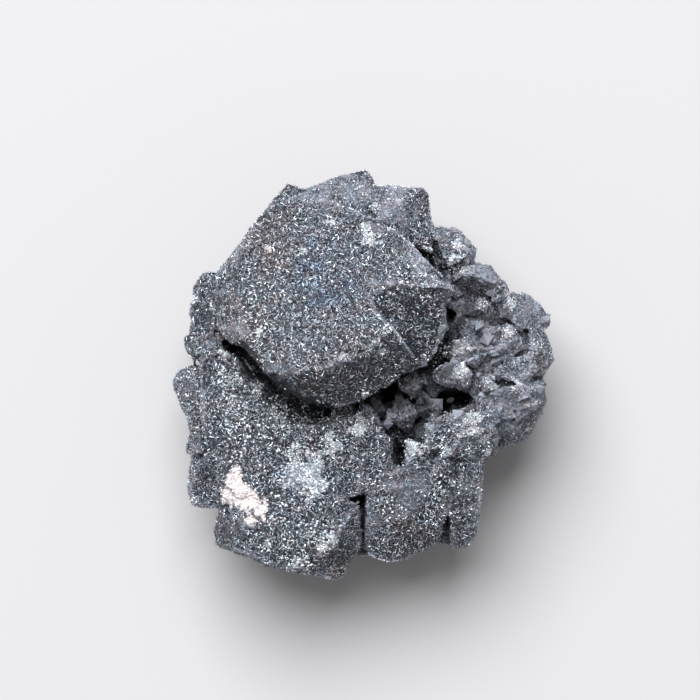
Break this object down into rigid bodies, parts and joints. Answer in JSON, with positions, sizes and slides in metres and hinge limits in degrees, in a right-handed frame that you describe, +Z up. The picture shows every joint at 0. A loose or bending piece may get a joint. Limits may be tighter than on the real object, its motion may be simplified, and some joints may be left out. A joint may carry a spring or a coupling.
{
  "type": "hematite pseudomorph",
  "caption": "Loose cluster of octahedral hematite crystals grown together, with a sparkling granular crust, lying on its flat broken back.",
  "frame": {"origin": "centre of the bounding box's underside, on the plane of the flat broken back", "axes": "+Z up and out of the best face, +Y along the longest way across the face, +X to the ragged side"},
  "size_m": [0.0364, 0.0392, 0.0243],
  "materials": {
    "hematite": "granular, steel grey with a metallic sparkle"
  },
  "bodies": {
    "root": {"crystal_cluster": "hematite"}
  },
  "joints": []
}
